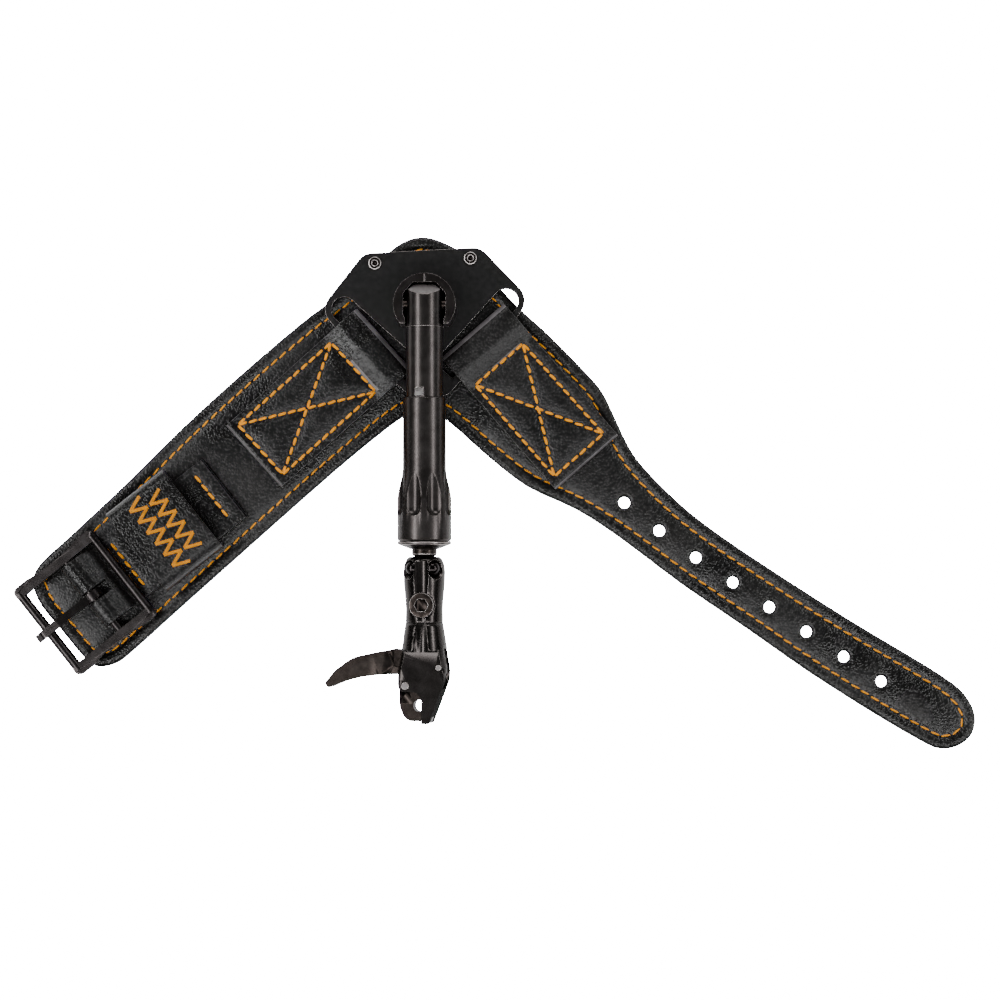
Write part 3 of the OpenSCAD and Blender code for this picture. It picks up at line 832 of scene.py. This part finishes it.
def offset_path(loop: list[Point], inset: float, z: float) -> list[Vector]:
    """A loop moved inwards by a distance, with its crossings dropped.

    Args:
        loop: The outline's points.
        inset: How far to move inwards.
        z: Height of the path.

    Returns:
        The path's points.
    """
    area = sum(a[0] * b[1] - b[0] * a[1] for a, b in zip(loop, loop[1:] + loop[:1])) / 2
    turn = 1 if area > 0 else -1
    distance = OutlineDistance(loop)
    spots = []
    for a, b in zip(loop, loop[1:] + loop[:1]):
        run = Vector((b[0] - a[0], b[1] - a[1]))
        if run.length < 1e-7:
            continue
        run.normalize()
        middle = Vector(((a[0] + b[0]) / 2, (a[1] + b[1]) / 2))
        spots.append(middle + Vector((-run.y, run.x)) * turn * inset)
    gaps = distance.to(np.array([tuple(p) for p in spots]))
    kept = [p for p, g in zip(spots, gaps) if g > inset * 0.985]
    smooth = [(kept[i - 1] + kept[i] * 2 + kept[(i + 1) % len(kept)]) / 4 for i in range(len(kept))]
    return [Vector((p.x, p.y, z)) for p in smooth]


# ---------------------------------------------------------------- tabs, keeper and buckle end


@dataclass(frozen=True)
class LocalFrame:
    """A place on the strap with its own direction."""

    x: float
    y: float
    degrees: float
    side: float = 0.0

    def matrix(self) -> Matrix:
        """The frame as a matrix, in metres."""
        turn = Matrix.Rotation(math.radians(self.degrees), 4, "Z")
        return Matrix.Translation((self.x * MM, self.y * MM, 0)) @ turn @ Matrix.Translation(
            (0, self.side * MM, 0))


@dataclass(frozen=True)
class FlapShape:
    """How a folded leather piece is worked."""

    node: str
    place: LocalFrame
    width: float
    long: tuple[float, float]
    top: float
    stitches: tuple[tuple[Point, Point], ...]
    puff: float = 0.25
    # Top faces whose normal points less upward than this get the painted edge highlight; 0 gives none.
    bevel_highlight: float = 0.0


class Flap:
    """A folded leather piece sewn onto the strap."""

    def __init__(self, looks: Finishes, shape: FlapShape) -> None:
        """Keep the finishes and shape.

        Args:
            looks: The materials.
            shape: The flap's shape.
        """
        self.looks = looks
        self.shape = shape

    def build(self) -> bpy.types.Object:
        """The leather piece, with rounded edges, sewn-down grooves and slight puffs between them.

        Returns:
            The leather object.
        """
        s = self.shape
        bm = mesh_copy(s.node)
        there, back = s.place.matrix(), s.place.matrix().inverted()
        bmesh.ops.transform(bm, matrix=back, verts=bm.verts)
        soften(bm, 0.45 * MM, 35, 3)
        slice_grid(bm, 0.8 * MM)
        lines = [(Vector((a[0] * MM, a[1] * MM)), Vector((b[0] * MM, b[1] * MM))) for a, b in s.stitches]
        half, (u0, u1) = s.width / 2 * MM, (s.long[0] * MM, s.long[1] * MM)
        bm.normal_update()
        for v in bm.verts:
            co = v.co
            if co.z < 0.0042 or v.normal.z < 0.25:
                continue
            near = min((gap_to_line(co.x, co.y, a, b) for a, b in lines), default=1.0)
            rim = min(half - abs(co.y), co.x - u0, u1 - co.x)
            z = -0.3 * MM * bell(near, 0.7 * MM)
            z += s.puff * MM * ease(near, 0.6 * MM, 4 * MM) * ease(rim, 0, 3 * MM)
            z += 0.08 * MM * ripple(co.x, co.y, 7 * MM) * ease(rim, 0, 2 * MM)
            co.z += z * ease(v.normal.z, 0.25, 0.8)
        bmesh.ops.transform(bm, matrix=there, verts=bm.verts)
        bmesh.ops.recalc_face_normals(bm, faces=bm.faces)
        for f in bm.faces:
            if abs(f.normal.z) < 0.35:
                f.material_index = 1
            # Sloping faces of the top bevel take slot 2, the painted edge highlight.
            elif f.normal.z < s.bevel_highlight:
                f.material_index = 2
        made = to_object(bm, s.node + "_leather",
                         [self.looks.leather, self.looks.edge, self.looks.bevel_highlight], 50)
        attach(made, Body.STRAP.value)
        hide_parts(s.node)
        return made

    def sew(self, thread: Thread, leather: bpy.types.Object) -> None:
        """Sew the flap's lines.

        Args:
            thread: The thread that gathers the stitches.
            leather: The flap's leather object.
        """
        ground, there = ground_of(leather), self.shape.place.matrix()
        for a, b in self.shape.stitches:
            path = [there @ Vector((p[0] * MM, p[1] * MM, 0.006)) for p in (a, b)]
            thread.row(path, ground, pitch=2.7 * MM, radius=0.35 * MM)


def gap_to_line(x: float, y: float, a: Vector, b: Vector) -> float:
    """Distance from a point to a line piece, in the plane."""
    run = b - a
    t = min(1, max(0, (Vector((x, y)) - a).dot(run) / run.length_squared))
    return (a + run * t - Vector((x, y))).length


def crossed_box(a: Point, b: Point, c: Point, d: Point) -> tuple[tuple[Point, Point], ...]:
    """The four sides and both diagonals of a box with corners a, b (one end) and c, d (the other)."""
    return ((a, b), (b, d), (d, c), (c, a), (a, d), (b, c))


LEFT_PLACE = LocalFrame(0, 0, 222, -0.9)
RIGHT_PLACE = LocalFrame(0, 0, -49, 5.3)
BUCKLE_PLACE = LocalFrame(-85.8, -75, 218.4, 0)


@dataclass(frozen=True)
class KeeperSizes:
    """Sizes of the fixed keeper loop, in millimetres along and across the strap."""

    start: float = -34.4
    length: float = 18.6
    width: float = 25.3
    top: float = 12.8
    side: float = -1.8
    row_high: float = 4.3
    rows: tuple[tuple[float, float, int], ...] = ((-23.4, 10.6, 6), (-28.6, 8.9, 5))


class Keeper:
    """The fixed leather keeper with piped edges and two rows of satin chevrons."""

    def __init__(self, looks: Finishes, sizes: KeeperSizes = KeeperSizes()) -> None:
        """Keep the finishes and sizes."""
        self.looks = looks
        self.sizes = sizes
        self.place = LocalFrame(BUCKLE_PLACE.x, BUCKLE_PLACE.y, BUCKLE_PLACE.degrees, sizes.side)

    def build(self) -> bpy.types.Object:
        """The puffed band of leather, creased along its piped edges.

        Returns:
            The keeper object.
        """
        s = self.sizes
        bm = mesh_copy("keeper_loop")
        there, back = self.place.matrix(), self.place.matrix().inverted()
        bmesh.ops.transform(bm, matrix=back, verts=bm.verts)
        soften(bm, 0.4 * MM, 35, 3)
        slice_grid(bm, 0.7 * MM)
        slice_grid(bm, 0.9 * MM, (2,))
        bm.normal_update()
        middle = s.start + s.length / 2
        for v in bm.verts:
            u, w, z = v.co / MM
            outer = z > s.top + 0.4
            if not outer or v.normal.z < 0.1:
                continue
            end = s.length / 2 - abs(u - middle)
            push = -0.42 * bell(end - 1.75, 0.5) + 0.12 * bell(end - 0.8, 0.7)
            push += 0.5 * ease(end, 1.8, 6.5) - 0.25 + 0.14 * ripple(u * MM, w * MM, 6 * MM)
            v.co.z += push * MM * ease(s.width / 2 - abs(w), 0, 2.5)
        bmesh.ops.transform(bm, matrix=there, verts=bm.verts)
        bmesh.ops.recalc_face_normals(bm, faces=bm.faces)
        made = to_object(bm, "keeper_leather", [self.looks.leather, self.looks.edge], 60)
        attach(made, Body.STRAP.value)
        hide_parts("keeper_loop")
        return made

    def embroider(self, leather: bpy.types.Object) -> bpy.types.Object:
        """Two rows of satin-stitched chevrons across the keeper.

        Args:
            leather: The keeper's leather.

        Returns:
            The embroidery object.
        """
        s, there, ground = self.sizes, self.place.matrix(), ground_of(leather)
        thread = Thread("keeper_embroidery", Body.STRAP, self.looks.thread, radius=0.25 * MM,
                        slant=0, sink=0.2 * MM)
        for u, half, count in s.rows:
            step = 2 * half / count
            for k in range(count):
                left = -half + k * step
                peak = (u + s.row_high / 2, left + step / 2)
                for foot in (left, left + step):
                    self.satin(thread, there, ground, (u - s.row_high / 2, foot), peak)
        return thread.done()

    def satin(self, thread: Thread, there: Matrix, ground: Callable, a: Point, b: Point) -> None:
        """One raised bar of threads laid side by side, from one point to another."""
        start, run = Vector((*a, 0)), Vector((b[0] - a[0], b[1] - a[1], 0))
        count = max(3, round(run.length / 0.42))
        side = Vector((-run.y, run.x, 0)).normalized() * 0.48
        for i in range(count):
            spot = start + run * ((i + 0.5) / count)
            wobble = thread.rng.uniform(-0.06, 0.06)
            ends = [there @ ((spot + side * k * (1 + wobble) + run.normalized() * k * 0.12) * MM)
                    for k in (-1, 1)]
            (pa, na), (pb, nb) = ground(ends[0]), ground(ends[1])
            up = (na + nb).normalized()
            thread.stitch(pa + up * 0.08 * MM, pb + up * 0.08 * MM, up)


# ---------------------------------------------------------------- hardware


@dataclass(frozen=True)
class MetalPart:
    """One metal part: its solid, slot, finish, edge rounding with a painted edge highlight, and faces turned
    one way that take painted reflection or painted shade.
    """

    node: str
    slot: Slot
    look: str
    edge: float = 0.12
    sharp: float = 30
    smooth: float = 38
    segments: int = 2
    # Whether the rounded edges take the painted edge highlight.
    highlight_paint: bool = True
    # Faces turned this way above this height, in mm, take painted light or shade.
    painted_light_faces: tuple[float, float, float, float] | None = None
    painted_light_look: str = "facet_reflection_and_pin_grey"


@dataclass
class Hardware:
    """A group of metal parts that move together."""

    looks: Finishes
    body: Body
    parts: tuple[MetalPart, ...]

    def build(self) -> list[bpy.types.Object]:
        """Make each part with softened edges and its finish.

        Returns:
            The new objects.
        """
        return [self.part(p) for p in self.parts]

    def part(self, part: MetalPart) -> bpy.types.Object:
        """Make one part.

        Args:
            part: Its description.

        Returns:
            The new object.
        """
        bm = mesh_copy(part.node)
        # The rounded edges take slot 1, the painted edge highlight, when the part asks for it.
        if part.edge:
            soften(bm, part.edge * MM, part.sharp, part.segments, int(part.highlight_paint))
        # Faces turned one way take slot 2: painted reflection or painted shade, as the part gives.
        if part.painted_light_faces:
            facing, above = Vector(part.painted_light_faces[:3]), part.painted_light_faces[3] * MM
            for f in bm.faces:
                if f.normal.dot(facing) > 0.97 and f.calc_center_median().z > above:
                    f.material_index = 2
        made = to_object(bm, part.node + "_finished",
                         [getattr(self.looks, name) for name in (part.look, "highlight_paint", part.painted_light_look)],
                         part.smooth)
        even = made.modifiers.new("even_shading", "WEIGHTED_NORMAL")
        even.keep_sharp = True
        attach(made, self.body.value)
        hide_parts(part.node)
        log.info("%s: %d faces", made.name, len(made.data.polygons))
        return made


def hardware(looks: Finishes) -> list[Hardware]:
    """Every group of metal parts.

    Args:
        looks: The materials.

    Returns:
        The groups.
    """
    d, b = Slot.DARK_STEEL, Slot.BRIGHT_STEEL
    return [
        Hardware(looks, Body.STRAP, (
            MetalPart("back_plate", Slot.PLATE, "plate"),
            MetalPart("connector_plate", Slot.PLATE, "plate", 0.2),
            MetalPart("plate_rivets", b, "dark_steel", 0.32),
            MetalPart("turret_spindle", b, "bright"),
            MetalPart("turret_washer", b, "dark_steel"),
        )),
        Hardware(looks, Body.SWIVEL, (
            MetalPart("turret", Slot.STEM, "stem", 0.18),
            MetalPart("fold_pin", d, "dark_steel"),
        )),
        Hardware(looks, Body.STEM, (
            # Its rear facet is painted pale grey as a reflection of the floor behind it.
            MetalPart("stem_knuckle", Slot.STEM, "stem", 0.15, painted_light_faces=(0, 0.899, 0.438, 12)),
            MetalPart("stem_tube", Slot.STEM, "stem", 0.12),
        )),
        Hardware(looks, Body.SLIDER, (
            MetalPart("barrel", Slot.STEM, "stem", 0.13, 14, 30, 1),
            MetalPart("barrel_end_ring", Slot.STEM, "stem", 0.15),
            MetalPart("neck_stud", d, "dark_steel", 0.1),
            MetalPart("snap_ring", b, "bright", 0),
        )),
        Hardware(looks, Body.HEAD, (
            MetalPart("head_yoke", Slot.HEAD, "head", 0.12),
            MetalPart("retaining_balls", d, "ball", 0),
            MetalPart("head_screw", d, "dark_steel", 0.1),
            # Its wall facing +X is near black: painted shade in place of its sheen.
            MetalPart("housing", Slot.HEAD, "head", 0.16, painted_light_faces=(0.92, -0.36, 0.13, 0),
                      painted_light_look="shaded_housing_wall"),
            MetalPart("fixed_jaw", d, "plate", 0.15, highlight_paint=False),
            MetalPart("hook_pin", b, "facet_reflection_and_pin_grey", 0.2),
            MetalPart("trigger_pin", b, "facet_reflection_and_pin_grey", 0.2),
            MetalPart("hook_spring", b, "bright", 0),
        )),
        Hardware(looks, Body.TRIGGER, (
            MetalPart("trigger", d, "dark_steel", 0.22),
            MetalPart("sear_roller", b, "bright", 0.1),
        )),
        Hardware(looks, Body.HOOK, (MetalPart("hook_jaw", d, "dark_steel", 0),)),
        Hardware(looks, Body.BUCKLE, (
            MetalPart("buckle_frame", Slot.BUCKLE, "buckle", 0.8, 35, 60, 4, False),
            MetalPart("buckle_bar", Slot.BUCKLE, "buckle", 0),
        )),
        Hardware(looks, Body.PRONG, (
            MetalPart("buckle_prong", Slot.BUCKLE, "buckle", 0.75, 35, 60, 4, False),
        )),
    ]


# ---------------------------------------------------------------- stage


@dataclass
class Stage:
    """A pale floor, soft studio lights and the camera."""

    target: tuple[float, float, float] = (19.5, -50, 4)
    distance: float = 950
    elevation: float = 87.5
    azimuth: float = 0
    field_mm: float = 260
    lamps: tuple[tuple[tuple[float, float, float], tuple[float, float], float], ...] = (
        ((-0.60, -0.05, 0.70), (1.2, 0.15), 9.0),
        ((0.74, -0.05, 0.64), (1.2, 0.11), 7.0),
        ((0.10, 0.80, 0.55), (0.6, 0.2), 4.5),
        ((0.0, -0.43, 0.84), (1.0, 0.10), 5.5),
    )

    def floor(self) -> None:
        """A plain pale floor just under the strap."""
        bm = bmesh.new()
        bmesh.ops.create_grid(bm, x_segments=1, y_segments=1, size=3)
        bmesh.ops.translate(bm, verts=bm.verts, vec=(0, 0, -0.2 * MM))
        g = Graph("pale_floor")
        seen = g.node("LightPath").outputs["Is Camera Ray"]
        made = to_object(bm, "floor", [g.finish(
            Base_Color=(0.9, 0.9, 0.9, 1), Roughness=0.9, Emission_Color=(1, 1, 1, 1),
            Emission_Strength=g.spread(seen, 0, 1, 0.3, 40.0))])

    def lights(self) -> None:
        """Long soft boxes to both sides, one behind, one in front, and a pale surround."""
        world = bpy.data.worlds.new("surround")
        world.use_nodes = True
        world.node_tree.nodes["Background"].inputs[0].default_value = (1, 1, 1, 1)
        world.node_tree.nodes["Background"].inputs[1].default_value = 0.07
        bpy.context.scene.world = world
        for k, (at, size, power) in enumerate(self.lamps):
            lamp = bpy.data.lights.new(f"softbox_{k}", "AREA")
            lamp.shape = "RECTANGLE"
            lamp.size, lamp.size_y = size
            lamp.energy = power
            made = bpy.data.objects.new(lamp.name, lamp)
            made.location = at
            aim = Vector((0, -0.05, 0)) - Vector(at)
            made.rotation_euler = aim.to_track_quat("-Z", "Y").to_euler()
            bpy.context.scene.collection.objects.link(made)

    def camera(self) -> None:
        """The camera, nearly straight above."""
        data = bpy.data.cameras.new("camera")
        data.sensor_width = 36
        data.lens = 36 * self.distance / self.field_mm
        data.clip_start = 0.01
        made = bpy.data.objects.new("camera", data)
        up, turn = math.radians(self.elevation), math.radians(self.azimuth)
        away = Vector((math.sin(turn) * math.cos(up), -math.cos(turn) * math.cos(up), math.sin(up)))
        made.location = (Vector(self.target) + away * self.distance) * MM
        made.rotation_euler = (-away).to_track_quat("-Z", "Y").to_euler()
        bpy.context.scene.collection.objects.link(made)
        bpy.context.scene.camera = made


@dataclass(frozen=True)
class StemMarks:
    """The pale index line on the turret and the bright step marks along the stem."""

    turret_top: float = 16.2
    line: tuple[float, float, float, float] = (-0.14, 5.75, 0.14, 7.75)
    mark_x: tuple[float, float] = (-2.4, -0.1)
    first_y: float = -23.5
    mark_long: float = 1.9

    def build(self, looks: Finishes) -> None:
        """Make both kinds of mark as thin inlays.

        Args:
            looks: The materials.
        """
        x0, y0, x1, y1 = self.line
        line = self.slab((x0, y0, self.turret_top - 0.05), (x1, y1, self.turret_top + 0.02))
        made = to_object(line, "turret_index_line", [looks.highlight_paint])
        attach(made, Body.SWIVEL.value)
        marks = self.slab((self.mark_x[0], self.first_y, 4.1), (self.mark_x[1], self.first_y + self.mark_long,
                                                              4.32))
        tilt = Matrix.Translation((0, 0, 14 * MM)) @ Matrix.Rotation(math.radians(2.5), 4, "X")
        bmesh.ops.transform(marks, matrix=tilt, verts=marks.verts)
        made = to_object(marks, "stem_step_mark", [looks.bright])
        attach(made, Body.STEM.value)

    @staticmethod
    def slab(low: tuple[float, float, float], high: tuple[float, float, float]) -> bmesh.types.BMesh:
        """A thin block between two corners in millimetres, with softened edges."""
        bm = bmesh.new()
        bmesh.ops.create_cube(bm, size=1)
        a, b = Vector(low) * MM, Vector(high) * MM
        bmesh.ops.scale(bm, vec=b - a, verts=bm.verts)
        bmesh.ops.translate(bm, vec=(a + b) / 2, verts=bm.verts)
        soften(bm, 0.015 * MM, 30, 1)
        return bm


@dataclass(frozen=True)
class TriggerSpring:
    """The trigger's return spring, kept at its CAD shape; the real one shortens as the trigger is pulled."""

    node: str = "trigger_spring"
    joint: str = "trigger_pull"
    axis: tuple[float, float, float] = (0, 1, 0)
    fixed_end: tuple[float, float, float] = (-0.0009, -0.0856, 0.01)
    shortest: float = 0.78

    def build(self, looks: Finishes) -> None:
        """Finish the CAD spring as it is.

        Args:
            looks: The materials.
        """
        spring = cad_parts[self.node]
        spring.data.materials.clear()
        spring.data.materials.append(looks.bright)
        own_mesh(spring)


def main() -> None:
    """Build, dress and light the wrist release."""
    logging.basicConfig(level=logging.INFO, format="%(name)s: %(message)s")
    looks = Finishes()
    stage = Stage()
    stage.floor()
    stage.lights()
    stage.camera()
    strap = Strap(looks)
    leather = strap.shell()
    strap.lining()
    thread = Thread("strap_stitching", Body.STRAP, looks.thread)
    thread.row(strap.path, ground_of(leather), closed=True, radius=0.23 * MM)
    flaps = (
        FlapShape("left_tab", LEFT_PLACE, 21.5, (13.3, 59), 6.45,
                  crossed_box((24.2, -8.6), (24.2, 8.7), (56.5, -8.9), (56.5, 8.5)), bevel_highlight=0.85),
        FlapShape("right_tab", RIGHT_PLACE, 21.5, (12.6, 58), 6.45,
                  crossed_box((23.8, -8.7), (23.8, 7.7), (55.2, -8.8), (55.2, 8.1)), bevel_highlight=0.85),
        FlapShape("buckle_tab", LocalFrame(BUCKLE_PLACE.x, BUCKLE_PLACE.y, BUCKLE_PLACE.degrees, -1),
                  19, (-44, 2.5), 6.3, (((-39.9, -7.4), (-39.9, 6.6)), ((-12, -7.2), (-12, 7.2))), puff=0),
    )
    for shape in flaps:
        flap = Flap(looks, shape)
        flap.sew(thread, flap.build())
    thread.done()
    keeper = Keeper(looks)
    keeper.embroider(keeper.build())
    for group in hardware(looks):
        group.build()
    StemMarks().build(looks)
    TriggerSpring().build(looks)


if __name__ == "__main__":
    main()
